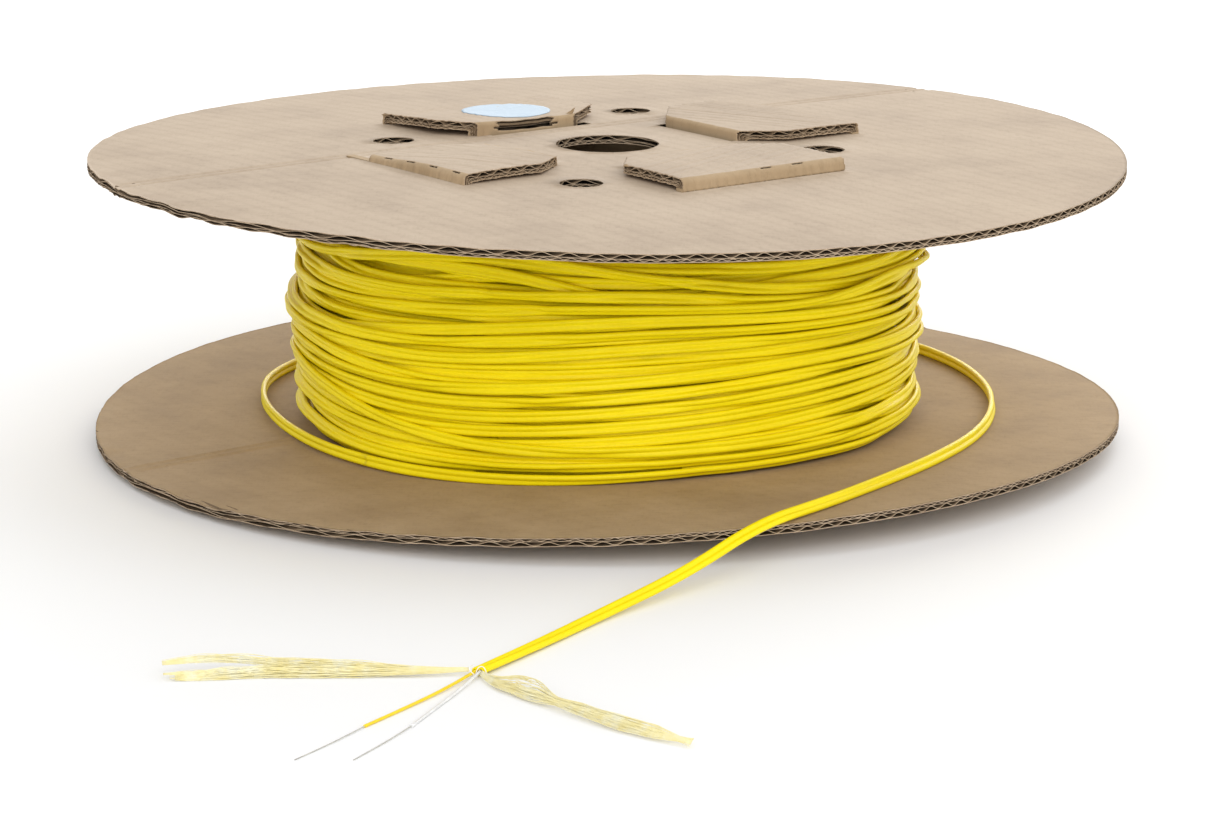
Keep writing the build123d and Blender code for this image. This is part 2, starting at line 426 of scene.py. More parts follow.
def board_material(name, light, mid, dark, washboard):
    """Kraft liner: mottled, with short fibres and faint ribs where the flutes are glued; the ribs are bumps,
    and darker bands in the colour are painted shade.
    """
    look = Look(name, 0.82, 0.25)
    cloud = look.noise(look.turned(), 26, 5, 0.62)
    colour = look.ramp(cloud, (0.3, dark), (0.5, mid), (0.72, light))
    fibres = look.noise(look.turned(-FLUTE_TURN, (1.0, 7.0, 1.0)), 150, 6, 0.7)
    cross = look.noise(look.turned(-FLUTE_TURN, (5.0, 1.0, 1.0)), 190, 5, 0.7)
    flecks = look.sum(fibres, 0.6, cross, 0.4)
    colour = look.multiply(0.75, colour, look.ramp(flecks, (0.34, (0.80, 0.79, 0.77)), (0.5, WHITE)))
    bands = {"Scale": 2 * math.pi / COARSE_PITCH / MM / 20, "Distortion": 0.6, "Detail": 1.0,
             "Detail Scale": 8.0, "Vector": look.turned(-FLUTE_TURN)}
    ribs = look.node("TexWave", bands, "Fac", wave_type="BANDS", bands_direction="X")
    # darker rib bands multiplied into the colour: painted shade of the washboard ridges
    colour = look.multiply(washboard, colour, look.ramp(ribs, (0.0, (0.93, 0.925, 0.92)), (0.5, WHITE)))
    height = look.sum(flecks, 0.5, ribs, 0.5 * washboard)
    return look.finish(colour, height, 0.35, 0.00016, Roughness=look.range(cloud, 0.72, 0.92))


def flute_material(name, light, dark):
    """Rough brown paper of the flutes and cut edges."""
    look = Look(name, 0.9, 0.2)
    plain = look.turned()
    fleck, cloud = look.noise(plain, 700, 5, 0.7), look.noise(plain, 90, 4, 0.6)
    colour = look.ramp(look.sum(fleck, 0.55, cloud, 0.45), (0.36, dark), (0.64, light))
    return look.finish(colour, fleck, 0.4, 0.0001)


def jacket_material():
    """Satin yellow jacket with a fine drawn grain and slight scuffs."""
    look = Look("cable_jacket", 0.42, 0.2)
    plain = look.turned()
    cloud, fine = look.noise(plain, 35), look.noise(plain, 900, 3)
    colour = look.ramp(cloud, (0.3, (0.89, 0.715, 0.001)), (0.7, (0.96, 0.785, 0.003)))
    scuff = look.ramp(fine, (0.35, (0.95, 0.945, 0.93)), (0.6, WHITE))
    return look.finish(look.multiply(0.6, colour, scuff), fine, 0.12, 0.00005,
                       Roughness=look.range(cloud, 0.36, 0.5), Subsurface_Weight=0.08,
                       Subsurface_Radius=(0.0012, 0.0009, 0.0002), Subsurface_Scale=1.0)


def plastic_material(name, light, dark, roughness, transmission=0.0, scatter=0.1):
    """Smooth plastic or glass, very slightly uneven in colour."""
    look = Look(name, roughness)
    cloud = look.noise(look.turned(), 400)
    return look.finish(look.ramp(cloud, (0.35, dark), (0.65, light)), cloud, 0.1, 0.00004,
                       Transmission_Weight=transmission, Subsurface_Weight=scatter,
                       Subsurface_Radius=(0.001, 0.001, 0.001), Subsurface_Scale=1.0)


def yarn_material():
    """Silky pale yellow filaments that let some light through."""
    look = Look("strength_yarn", 0.45)
    cloud = look.noise(look.turned(), 160, 4, 0.65)
    colour = look.ramp(cloud, (0.3, (0.93, 0.82, 0.37)), (0.5, (0.97, 0.89, 0.52)), (0.7, (0.99, 0.96, 0.74)))
    return look.finish(colour, Sheen_Weight=0.3, Sheen_Roughness=0.4, Transmission_Weight=0.12, IOR=1.25)


def paper_material():
    """Light blue label paper with no print."""
    look = Look("sticker_paper", 0.6, 0.3)
    plain = look.turned()
    fleck, cloud = look.noise(plain, 500), look.noise(plain, 60, 3, 0.5)
    both = look.sum(fleck, 0.4, cloud, 0.6)
    colour = look.ramp(both, (0.35, (0.37, 0.47, 0.565)), (0.65, (0.405, 0.505, 0.595)))
    return look.finish(colour, fleck, 0.15, 0.00004)


# ---- bent flanges ----------------------------------------------------------------------------
def off_bend(x, y, turn):
    """Distance from the line that a flange bends about, as a share of its radius."""
    return (-x * math.sin(turn) + y * math.cos(turn)) / RIM


def lower_rise(x, y):
    """How far the lower flange has bent up from flat."""
    turn, bend = LOWER_BEND
    u = off_bend(x, y, turn)
    return RIM * bend * u * u + LOWER_TILT * x * smooth_step(75, 130, np.hypot(x, y))


def upper_rise(x, y):
    """How far the upper flange has sagged, as a negative height."""
    turn, bend = UPPER_BEND
    r, u = np.hypot(x, y) / RIM, off_bend(x, y, turn)
    return -RIM * UPPER_BOWL * r * r - UPPER_TILT * x - RIM * bend * u * u


def crease_dip(x, y):
    """Depth of the double score line."""
    off_line = np.abs(y * FLUTE_COS - x * FLUTE_SIN - CREASE_OFFSET) - CREASE_SPACING / 2
    return -CREASE_DEPTH * hill(off_line, 0, CREASE_WIDTH)


def ring(centre, radius, count, squareness=0.0):
    angle = np.arange(count) / count * 2 * math.pi
    reach = radius * (1 + squareness * np.cos(9 * angle) ** 3)
    return np.stack([centre[0] + reach * np.cos(angle), centre[1] + reach * np.sin(angle)], 1)


def slot_outline(angle, near, far, half, step=2.2):
    """Outline of a slot at that distance from the axis, with points a few millimetres apart."""
    n_count, w_count = max(2, round((far - near) / step)), round(2 * half / step)
    n, w = np.linspace(near, far, n_count + 1), np.linspace(-half, half, w_count + 1)
    loop = [(v, -half) for v in n[:-1]] + [(far, v) for v in w[:-1]]
    loop += [(v, half) for v in n[:0:-1]] + [(near, v) for v in w[:0:-1]]
    loop = np.array(loop)
    turn = np.array([[math.cos(angle), math.sin(angle)], [-math.sin(angle), math.cos(angle)]])
    return loop @ turn


def in_polygon(points, loop):
    x, y = points[:, 0], points[:, 1]
    inside = np.zeros(len(points), bool)
    for (x0, y0), (x1, y1) in zip(loop, np.roll(loop, -1, 0)):
        crosses = (y0 > y) != (y1 > y)
        with np.errstate(divide="ignore", invalid="ignore"):
            inside ^= crosses & (x < (x1 - x0) * (y - y0) / (y1 - y0) + x0)
    return inside


def flange_holes():
    loops = [ring((0, 0), HUB_RADIUS, 56, 0.012)]
    for angle in DRIVE_ANGLES:
        centre = (DRIVE_CIRCLE * math.cos(angle), DRIVE_CIRCLE * math.sin(angle))
        loops.append(ring(centre, DRIVE_RADIUS, 28, 0.02))
    for angle in FOLD_ANGLES:
        loops.append(slot_outline(angle, *WALL_SLOT))
        loops.append(slot_outline(angle, *TONGUE_SLOT))
    return loops


def flange_layout():
    """Triangles of the flange's plan, with its holes, rim and crease lines."""
    rim = ring((0, 0), RIM, 720)
    inner_rings = [ring((0, 0), RIM - inset, count) for inset, count in ((1.2, 720), (3.5, 360), (8, 240))]
    holes = flange_holes()
    steps = np.arange(-28, 29)
    u, v = np.meshgrid(steps, steps, indexing="ij")
    grid = np.stack([(u + v / 2) * 6.6, v * 6.6 * math.sqrt(0.75)], -1).reshape(-1, 2)
    grid = grid[np.hypot(*grid.T) < RIM - 12]
    offsets = [-5.2, -3.7, -2.9, -2.15, -1.4, -0.6, 0.6, 1.4, 2.15, 2.9, 3.7, 5.2]
    t, d = np.meshgrid(np.arange(-176, 177, 4.0), offsets, indexing="ij")
    cos, sin = FLUTE_COS, FLUTE_SIN
    crease = np.stack([t * cos - (CREASE_OFFSET + d) * sin, t * sin + (CREASE_OFFSET + d) * cos], -1)
    crease = crease.reshape(-1, 2)
    crease = crease[np.hypot(*crease.T) < RIM - 3]
    across = -grid[:, 0] * sin + grid[:, 1] * cos
    grid = grid[np.abs(across - CREASE_OFFSET) > 7]
    inner = np.concatenate([grid, crease])
    for loop in holes:
        inside = in_polygon(inner, loop)
        gap = np.min(np.hypot(inner[:, None, 0] - loop[:, 0], inner[:, None, 1] - loop[:, 1]), 1)
        inner = inner[~inside & (gap > 1.3)]
    rings = np.concatenate(inner_rings)
    off_crease = np.abs(-rings[:, 0] * sin + rings[:, 1] * cos - CREASE_OFFSET)
    rings = rings[(off_crease > 6) | (np.hypot(*rings.T) > RIM - 2)]
    fixed = [rim, *holes]
    edges, count = [], 0
    for loop in fixed:
        index = np.arange(len(loop)) + count
        edges += list(zip(index.tolist(), np.roll(index, -1).tolist()))
        count += len(loop)
    points = np.concatenate([*fixed, rings, inner])
    made = delaunay_2d_cdt([Vector(p) for p in points.tolist()], edges, [], 0, 1e-5)
    flat = np.array([tuple(p) for p in made[0]])
    triangles = np.array([tuple(f) for f in made[2]])
    middles = flat[triangles].mean(1)
    keep = np.hypot(*middles.T) < RIM
    for loop in holes:
        keep &= ~in_polygon(middles, loop)
    triangles = triangles[keep]
    a, b, c = (flat[triangles[:, i]] for i in range(3))
    backwards = ((b - a)[:, 0] * (c - a)[:, 1] - (b - a)[:, 1] * (c - a)[:, 0]) < 0
    triangles[backwards] = triangles[backwards][:, ::-1]
    return flat, triangles


rim_wander = ripple(3, 14, 2, 40)
rim_flutter = ripple(5, 18, 5, 90)
rim_ragged = ripple(8, 40, 60, 340)


def wear(x, y):
    """How battered the rim is: most where the flutes run along it at the front left."""
    off_worst = np.abs((np.arctan2(y, x) - WORST_WEAR + math.pi) % (2 * math.pi) - math.pi)
    return 0.25 + 0.75 * hill(off_worst, 0, WEAR_SPREAD)


def board_points(x, y, depth, sheet, seed):
    """Points of a flange at a depth from its outer face, with its rim slightly crushed."""
    rise, face, outward = sheet
    angle, r = np.arctan2(y, x), np.hypot(x, y)
    near_rim = smooth_step(RIM - 7, RIM, r)
    hurt = wear(x, y)
    squeeze = near_rim * hurt * (0.10 + 0.12 * rim_flutter(angle + seed))
    sag = near_rim * hurt * 0.35 * rim_wander(angle * 2 + seed)
    height = face - outward * (depth + squeeze * (BOARD / 2 - depth))
    edge = smooth_step(RIM - 1.5, RIM, r)
    pull = edge * hurt * (0.18 * rim_ragged(angle + depth * 1.7 + seed) + 0.12)
    scale = 1 - pull / np.maximum(r, 1)
    return np.stack([x * scale, y * scale, height + rise(x, y) + sag], -1)


def add_liner(parts, layout, depths, sheet, slots, seed, creased):
    """One flat liner of a flange between two depths."""
    flat, triangles = layout
    outward = sheet[2]
    sheets = [board_points(*flat.T, depth, sheet, seed) for depth in depths]
    if creased:
        for points in sheets:
            points[:, 2] += outward * crease_dip(*flat.T)
    face_slot, back_slot = slots[::outward]
    count = len(flat)
    start = parts.add(np.concatenate(sheets[::outward]), triangles, face_slot)
    directed = np.concatenate([triangles[:, [0, 1]], triangles[:, [1, 2]], triangles[:, [2, 0]]])
    open_edges = directed[~np.isin(directed @ [count, 1], directed @ [1, count])]
    p, q = open_edges.T
    parts.join(triangles[:, ::-1] + count, back_slot, False, start)
    parts.join(quads(p + count, p, q, q + count), CUT, True, start)


def add_flutes(parts, pitch, samples, depth_range, sheet, seed):
    """One fluted medium of a flange, as deep as can be seen from the rim and the holes."""
    step = pitch / samples
    columns = np.arange(-math.floor(RIM / step), math.floor(RIM / step) + 1) * step
    columns = np.concatenate([[-RIM + 0.02], columns, [RIM - 0.02]])
    centre, swing = sum(depth_range) / 2, (depth_range[1] - depth_range[0] - MEDIUM) / 2
    phase = 2 * math.pi * columns / pitch + seed
    depth = centre + swing * np.sin(phase)
    slope = swing * 2 * math.pi / pitch * np.cos(phase)
    cos, sin = FLUTE_COS, FLUTE_SIN
    reach = np.sqrt(np.maximum(RIM ** 2 - columns ** 2, 0))[:, None]
    inwards = np.array([0, 0.03, 0.1, 0.3, 0.6, 1.0]) * np.minimum(30, reach)
    spans = [(columns, side * (reach - inwards), depth, slope, side) for side in (-1, 1)]
    holes = [((0, 0), HUB_RADIUS)]
    holes += [((DRIVE_CIRCLE * math.cos(a), DRIVE_CIRCLE * math.sin(a)), DRIVE_RADIUS) for a in DRIVE_ANGLES]
    for (cx, cy), radius in holes:
        across, run = cx * cos + cy * sin, -cx * sin + cy * cos
        near = np.abs(columns - across) < radius + 4
        bite = np.sqrt(np.maximum(radius ** 2 - (columns[near] - across) ** 2, 0))
        for side in (-1, 1):
            v = run + side * (bite[:, None] + np.array([0, 2.0, 7.0]))
            spans.append((columns[near], v, depth[near], slope[near], -side))
    for u, v, d, s, side in spans:
        u, d, s = (np.broadcast_to(value[:, None], v.shape) for value in (u, d, s))
        middle = board_points(u * cos - v * sin, u * sin + v * cos, d, sheet, seed)
        length = np.sqrt(1 + s ** 2)
        lean = sheet[2] * (s / length)
        normal = np.stack([lean * cos, lean * sin, 1 / length], -1)
        if side < 0:
            middle, normal = middle[:, ::-1], normal[:, ::-1]
        add_sheet(parts, middle, normal, -MEDIUM / 2, FLUTE)


def make_flange(name, sheet, layout, materials, seed):
    """Double-wall board: three liners with a coarse and a fine fluted medium between them."""
    parts = Parts()
    add_liner(parts, layout, (0, LINER), sheet, (FACE, FLUTE), seed, True)
    add_liner(parts, layout, MIDDLE_LINER, sheet, (FLUTE, FLUTE), seed, False)
    add_liner(parts, layout, (BOARD - LINER, BOARD), sheet, (FLUTE, BACK), seed, True)
    add_flutes(parts, COARSE_PITCH, 14, (LINER, MIDDLE_LINER[0]), sheet, seed)
    add_flutes(parts, FINE_PITCH, 10, (MIDDLE_LINER[1], BOARD - LINER), sheet, seed + 1)
    carry(parts.build(name, materials), "root", name)


# ---- folded flaps ----------------------------------------------------------------------------
SHOULDER, TONGUE = 54.0, 40.0      # from the axis to where a flap starts to taper, and to its end
FLAP_SAMPLES = 73
SLIT_ROWS, SLIT_HALF = (10, 11), 2.2
TONGUE_DEPTH = 5.3                 # how far a tongue reaches into the flange from its outer face
ROOT_EASE, TONGUE_EASE = 0.9, 0.7  # radii of the folds on the inner side
STICKER_RADIUS, STICKER_CENTRE = 16, 60.8


def flap_path(root, bend, inner):
    """Outer or inner outline of a folded flap; the points of both match (distance from axis, height)."""
    quarter = np.linspace(0, math.pi / 2, 9)
    run, drop, back = np.linspace(0, 1, 150)[1:-1], np.linspace(0, 1, 12), np.linspace(0, 1, 14)
    if inner:
        foot, wall = root - BOARD, TONGUE + BOARD
        rise = np.stack([foot - ROOT_EASE * back, -0.2 + 0.2 * back], 1)
        flat = np.stack([(foot - ROOT_EASE) + (wall + TONGUE_EASE - foot + ROOT_EASE) * run, 0 * run], 1)
        turn = np.stack([wall + TONGUE_EASE * (1 - np.sin(quarter)), -TONGUE_EASE * (1 - np.cos(quarter))], 1)
        down = np.stack([wall + 0 * drop, -TONGUE_EASE - (TONGUE_DEPTH - TONGUE_EASE) * drop], 1)[1:]
    else:
        straight = np.stack([root + np.array([0.2, 0.2, 0.12, 0, 0]), np.linspace(-1.5, BOARD - bend, 5)], 1)
        arc = np.stack([root - bend + bend * np.cos(quarter), BOARD - bend + bend * np.sin(quarter)], 1)
        rise = np.concatenate([straight, arc])
        flat = np.stack([(root - bend) + (TONGUE + bend - root + bend) * run, BOARD + 0 * run], 1)
        turn = np.stack([TONGUE + bend - bend * np.sin(quarter), BOARD - bend + bend * np.cos(quarter)], 1)
        down = np.stack([TONGUE + 0 * drop, (BOARD - bend) - (BOARD - bend + TONGUE_DEPTH) * drop], 1)[1:]
    return np.concatenate([rise, flat, turn, down])


def flap_edges(n, style):
    """Both side edges of a flap at a distance from the axis."""
    taper = (SHOULDER - np.clip(n, TONGUE, SHOULDER)) / (SHOULDER - TONGUE)
    wide, narrow = style["root"], style["tongue"]
    return wide[0] + (narrow[0] - wide[0]) * taper, wide[1] + (narrow[1] - wide[1]) * taper


def make_flap(name, style, materials):
    """Flap of double-wall board, bent at its root and again at the tongue that tucks into the flange."""
    x, y, z = (v / MM for v in JOINTS[name]["pos_m"])
    root, angle = math.hypot(x, y), math.atan2(y, x)
    outward = 1 if z > (LOWER_TOP + UPPER_BOTTOM) / 2 else -1
    near = z - outward * BOARD
    bend = style["bend"]
    outer, inner = flap_path(root, bend, False), flap_path(root, bend, True)
    s = along(outer)
    flatness = smooth_step(root - 0.5, root - 4.5, outer[:, 0]) * smooth_step(40.4, 43.5, outer[:, 0])
    seed = style["seed"]
    shiver = ripple(seed, 12, 3, 30)
    edge_noise = ripple(seed + 1, 16, 10, 120)
    parts = Parts()

    def place(n, h, w):
        """Reel coordinates of a point at n from the axis, h over the flange and w across."""
        h = np.where(h > 0, h * (1 - style["crush"] * smooth_step(14, -18, w)), h)
        arch = style["arch"] * np.sin(np.pi * np.clip((n - 43) / (root - 43), 0, 1))
        curl = style["curl"] * smooth_step(4, 30, w) * smooth_step(84, 52, n)
        lift = style["lift"] * smooth_step(root - 2, 44, n) + arch + curl + 0.1 * shiver(n / 12 + w / 31)
        lift = lift * smooth_step(root, root - 6, n)
        n = n + 0.22 * shiver(w / 9 + 2) * smooth_step(root - 4, root, n)
        height = near + outward * (h + np.maximum(lift, -0.25))
        return np.stack([n * math.cos(angle) - w * math.sin(angle),
                         n * math.sin(angle) + w * math.cos(angle), height], -1)

    def layer(depth, thick, slot, shares, keep, inset=0.0):
        """A sheet that follows the fold at a share of the thickness in from the outer face."""
        depth = np.broadcast_to(depth, len(outer))[:, None]
        line = outer * (1 - depth) + inner * depth
        step = np.gradient(line, axis=0)
        step /= np.linalg.norm(step, axis=1, keepdims=True)
        side = np.stack([step[:, 1], -step[:, 0]], 1)
        side *= np.sign((side * (outer - inner)).sum(1))[:, None]
        low, high = flap_edges(line[:, 0], style)
        low = low + inset - 0.22 * edge_noise(s / 11 + depth[:, 0])
        high = high - inset + 0.22 * edge_noise(s / 11 + depth[:, 0] + 2)
        w = low[:, None] + (high - low)[:, None] * shares
        n, h = np.broadcast_to(line[:, :1], w.shape), np.broadcast_to(line[:, 1:], w.shape)
        dn, dh = side[:, :1] * thick / 2, side[:, 1:] * thick / 2
        over, under = place(n + dn, h + dh, w), place(n - dn, h - dh, w)
        middle, normal = (over + under) / 2, (over - under) / 2
        if outward < 0:
            middle, normal, keep = middle[:, ::-1], normal[:, ::-1], keep[:, ::-1]
        add_sheet(parts, middle, normal, 1, slot, keep)

    shares = np.linspace(0, 1, FLAP_SAMPLES)
    row = np.arange(len(outer) - 1)[:, None]
    cell_n = ((outer[1:, 0] + outer[:-1, 0]) / 2)[:, None]
    cell_h = ((outer[1:, 1] + outer[:-1, 1]) / 2)[:, None]
    low, high = flap_edges(cell_n, style)
    cell_w = low + (high - low) * (shares[1:] + shares[:-1]) / 2
    slits = np.ones(cell_w.shape, bool)
    for at in style["slits"]:
        slits &= ~((np.abs(cell_w - at) < SLIT_HALF) & np.isin(row, SLIT_ROWS))
    fluted, holed = np.ones(cell_w.shape, bool), np.ones(cell_w.shape, bool)
    if style["torn"]:
        first, last = style["torn"]
        ragged = 1.6 * shiver(cell_h * 2.2) + 0.5 * edge_noise(cell_h * 5)
        tear = (cell_w > first + ragged) & (cell_w < last - ragged) & (cell_h > 0.0)
        slits &= ~(tear & (cell_n < TONGUE + bend))
        fluted = ~(tear & (cell_h < 2.3))
        holed = ~(tear & (cell_n < TONGUE + bend + 1.2))
    # outer liner at the root fold and the tongue takes the darker inside liner: slightly browner paper plus
    # painted shade of these steep faces
    brown = ((cell_n > root - bend - 0.1) | (cell_n < TONGUE + bend)).astype(int)
    coarse = 0.33 + 0.205 * flatness * np.sin(2 * math.pi * s / COARSE_PITCH + seed)
    fine = 0.79 + 0.095 * flatness * np.sin(2 * math.pi * s / FINE_PITCH + seed)
    skin, fewer, holed = LINER / 2 / BOARD, shares[::3], holed[:, 1::3]
    layer(skin, LINER, brown, shares, slits)
    layer(coarse, MEDIUM, FLUTE, fewer, fluted[:, 1::3], 0.1)
    layer(0.60, MEDIUM, FLUTE, fewer, holed, 0.05)
    layer(fine, MEDIUM, FLUTE, fewer, holed, 0.1)
    layer(1 - skin, LINER, BACK, fewer, holed)
    for tip in style["tips"]:
        add_tip(parts, place, *tip)
    carry(parts.build(name + "_board", materials), name, name)
    return place


def add_tip(parts, place, n, w, length, reach, height, lean):
    """A torn point of liner paper at a flap's edge, reaching out and up from it."""
    t = np.linspace(0, 1, 9)[:, None]
    v = np.linspace(-0.5, 0.5, 5)[None, :]
    base = v * length * (1 - t) ** 1.2
    along_edge = n + lean * t + 0.8 * base
    rise = BOARD - 0.35 + (height + 0.2) * t ** 0.8 - 0.5 * np.sin(math.pi * t) * v ** 2
    out = w + reach * t + 0.15 * np.sin(5 * t) * np.sign(w) + 0.6 * base
    middle = place(along_edge, rise, out)
    over = place(along_edge, rise + 0.1, out + 0.12)
    add_sheet(parts, middle, over - middle, 1, BACK)


def make_sticker(place, material):
    """Blank round sticker that follows the face of its flap."""
    radii = np.array([0, 0.25, 0.5, 0.75, 0.93, 1.0]) * STICKER_RADIUS
    angle = np.linspace(0, 2 * math.pi, 73)
    n = STICKER_CENTRE + radii[:, None] * np.cos(angle)
    w = radii[:, None] * np.sin(angle)
    lower, upper = (place(n, np.full_like(n, BOARD + lift), w) for lift in (0.04, 0.17))
    index = np.arange((len(radii) - 1) * (len(angle) - 1)).reshape(-1, len(angle) - 1)
    after, half = np.roll(index, -1, 1), index.size
    top = quads(index[:-1], index[1:], after[1:], after[:-1]) + half
    base = quads(after[:-1], after[1:], index[1:], index[:-1])
    rim = quads(index[-1], after[-1], after[-1] + half, index[-1] + half)
    rings = [disc[1:, :-1].reshape(-1, 3) for disc in (lower, upper)]
    parts = Parts()
    parts.add(np.concatenate([*rings, [lower[0, 0], upper[0, 0]]]), np.concatenate([top, base, rim]))
    for a, b in zip(index[0], after[0]):
        parts.join([[2 * half + 1, a + half, b + half], [2 * half, b, a]])
    carry(parts.build("sticker_disc", [material]), "upper_flap_back_left", "sticker")


# ---- wound cable -----------------------------------------------------------------------------
TURN_SAMPLES = 720
TAIL_COLUMN = 450                  # where the last turn leaves the pile, at 225 degrees
CELL = 0.25                        # height of the pile's cells
MEAN_RADIUS = 108
STEP_MM = 2 * math.pi * MEAN_RADIUS / TURN_SAMPLES
BRIDGE, BRIDGE_EASE = 30, 9        # samples that a taut strand spans, and is smoothed over
LAYERS, TURNS_A_LAYER = 4.0, 19.8  # laid strand by strand over the buried turns
BURIED_RADIUS = PILE_RADIUS - 12.0
SURFACE_RADIUS = 113.3
DRUM_INNER = 94
CHUNK, CHUNK_EASE = 160, 14        # samples laid at a time, and eased into the stretch before
LEAVING = 130                      # samples in which the last turn turns into the tail
SHOWN_STEP, SHOWN_REACH = 4, 24    # samples between sections, and kept beyond what shows
LOBE_ROWS = [(k, math.sqrt(max(LOBE ** 2 - (k * CELL) ** 2, 0))) for k in range(-4, 5)]


def column_angle(column):
    return column / TURN_SAMPLES * 2 * math.pi


def pile_limits(angle):
    """Lowest and highest height that the pile may reach at its outer radius."""
    x, y = MEAN_RADIUS * np.cos(angle), MEAN_RADIUS * np.sin(angle)
    return LOWER_TOP + lower_rise(x, y) + 0.35, UPPER_BOTTOM + upper_rise(x, y) - 0.35


class Pile:
    """Height field of the winding: outer radius by direction and height."""

    def __init__(self):
        self.base = LOWER_TOP - 2
        rows = int((UPPER_BOTTOM - self.base + 4) / CELL)
        self.top = np.full((TURN_SAMPLES, rows), BURIED_RADIUS)

    def rows(self, height):
        return np.clip(((height - self.base) / CELL).round().astype(int), 6, self.top.shape[1] - 7)

    def support(self, column, height):
        """Radius at which a round lobe centred at that height would rest."""
        row = self.rows(height)
        return np.max([self.top[column, row + k] + lift for k, lift in LOBE_ROWS], 0)

    def lay(self, column, height, radius):
        row = self.rows(height)
        for k, lift in LOBE_ROWS:
            np.maximum.at(self.top, (column, row + k), radius + lift)

    def shows(self, column, height, radius):
        """Whether a lobe laid there is still bare somewhere."""
        row = self.rows(height)
        return np.any([self.top[column, row + k] < radius + lift + 1.2 for k, lift in LOBE_ROWS[1:-1]], 0)


def bridged(support):
    """A taut strand spans dips: the support's upper envelope by flat arcs."""
    best = support.copy()
    for shift in range(1, BRIDGE + 1):
        drop = (shift * STEP_MM) ** 2 / (2 * MEAN_RADIUS)
        best[shift:] = np.maximum(best[shift:], support[:-shift] - drop)
        best[:-shift] = np.maximum(best[:-shift], support[shift:] - drop)
    kernel = np.hanning(2 * BRIDGE_EASE + 1)
    return np.convolve(np.pad(best, BRIDGE_EASE, mode="edge"), kernel / kernel.sum(), mode="valid")


def traverse(rng):
    """The strand's way round and up and down the pile, ending at the bottom: height as a share from 0 at
    the bottom to 1 at the top, and wander in millimetres."""
    pitch = 1 / TURNS_A_LAYER
    turns = int(LAYERS / pitch)
    phi = np.arange(turns * TURN_SAMPLES) / TURN_SAMPLES
    share = np.abs(((phi[-1] - phi) * pitch + 1) % 2 - 1)
    wander = np.zeros_like(phi)
    for wave, size in ((1, 2.0), (2, 1.3), (3, 0.8), (4, 0.5), (6, 0.25)):
        drift = rng.uniform(-0.06, 0.06)
        phase = rng.uniform(0, 2 * math.pi) + 1.2 * np.sin(2 * math.pi * phi * rng.uniform(0.02, 0.05))
        wander += size * np.sin(2 * math.pi * phi * (wave + drift) + phase)
    for _ in range(int(turns * 0.85)):
        at, width = rng.uniform(0, turns), rng.uniform(0.045, 0.17)
        size = rng.choice([-1, 1]) * rng.uniform(2.5, 9.0)
        wander += size * hill(phi, at, width)
    return share, wander


def lay_strand(pile, column, height):
    """Rest a stretch of flat cable on the pile: heights and radii of its two lobes."""
    low, high = height - LOBE_GAP / 2, height + LOBE_GAP / 2
    r_low, r_high = bridged(pile.support(column, low)), bridged(pile.support(column, high))
    gap = np.clip(r_high - r_low, -1.6, 1.6)
    top = np.maximum(r_low, r_high)
    r_low = np.where(gap > 0, top - gap, top)
    r_high = np.where(gap > 0, top, top + gap)
    squeeze = np.sqrt(LOBE_GAP ** 2 - gap ** 2) / LOBE_GAP
    middle = (low + high) / 2
    low, high = middle - LOBE_GAP / 2 * squeeze, middle + LOBE_GAP / 2 * squeeze
    return np.stack([low, r_low, high, r_high], 1)


def shape_buried(pile):
    """Belly of the buried turns, narrower at the left and fuller high up at the right."""
    rows = pile.base + CELL * np.arange(pile.top.shape[1])
    angle = column_angle(np.arange(TURN_SAMPLES))[:, None]
    belly = 0.9 * np.sin(math.pi * np.clip((rows - 12) / 80, 0, 1))
    pinch = hill(angle, math.radians(178), 0.5) * hill(rows, 52, 11)
    narrow = hill(angle, math.radians(184), 0.75) * smooth_step(44, 74, rows)
    off_right = (angle + math.pi) % (2 * math.pi) - math.pi
    swell = hill(off_right, 0, 0.5) * hill(rows, 74, 10)
    flatter = hill(off_right, 0, 0.6)
    pile.top += belly - 2.2 * pinch - 2.6 * narrow - 2.2 * flatter + 1.8 * swell


def wind_cable():
    """Lay the visible layers of the winding, one strand on another, and the turn that leaves as the tail."""
    pile = Pile()
    shape_buried(pile)
    buried = pile.top.copy()
    share, wander = traverse(np.random.default_rng(41))
    total, half = len(share), CABLE_WIDTH / 2
    column = (TAIL_COLUMN + np.arange(total)[::-1]) % TURN_SAMPLES
    bottom, ceiling = pile_limits(column_angle(column))
    height = bottom + half + share * (ceiling - bottom - 2 * half)
    edge = np.clip(np.minimum(height - bottom, ceiling - height) / 12, 0.12, 1)
    height = np.clip(height + wander * edge, bottom + half, ceiling - half)
    state, laid = np.zeros((total, 4)), 0
    for first in range(0, total, CHUNK):
        ready = max(0, first - 2 * BRIDGE - 4)
        pile_in(pile, column, state, laid, ready)
        laid = ready
        last = min(first + CHUNK, total)
        low, high = max(0, first - BRIDGE), min(total, last + BRIDGE)
        blend_in(state, lay_strand(pile, column[low:high], height[low:high]), first, last, low)
    pile_in(pile, column, state, laid, total)
    shift = SURFACE_RADIUS - np.percentile(pile.top[:, 40:-60], 90)
    pile.top += shift
    pile.buried = buried + shift
    state[:, [1, 3]] += shift
    x, y, z = TAIL_POINTS[0]
    goal = np.array([z - LOBE_GAP / 2, math.hypot(x, y), z + LOBE_GAP / 2, math.hypot(x, y)])
    leave = smooth_step(0, 1, np.linspace(0, 1, LEAVING))[:, None]
    state[-LEAVING:] = state[-LEAVING:] * (1 - leave) + goal * leave
    column = np.append(column, TAIL_COLUMN - np.arange(1, 4))
    state = np.concatenate([state, np.repeat(goal[None] - [0, 0.06, 0, 0.06], 3, 0)])
    return pile, column, state


def pile_in(pile, column, state, first, last):
    """Lay both lobes of a stretch of strand."""
    if last > first:
        for lobe in (0, 2):
            pile.lay(column[first:last], state[first:last, lobe], state[first:last, lobe + 1])


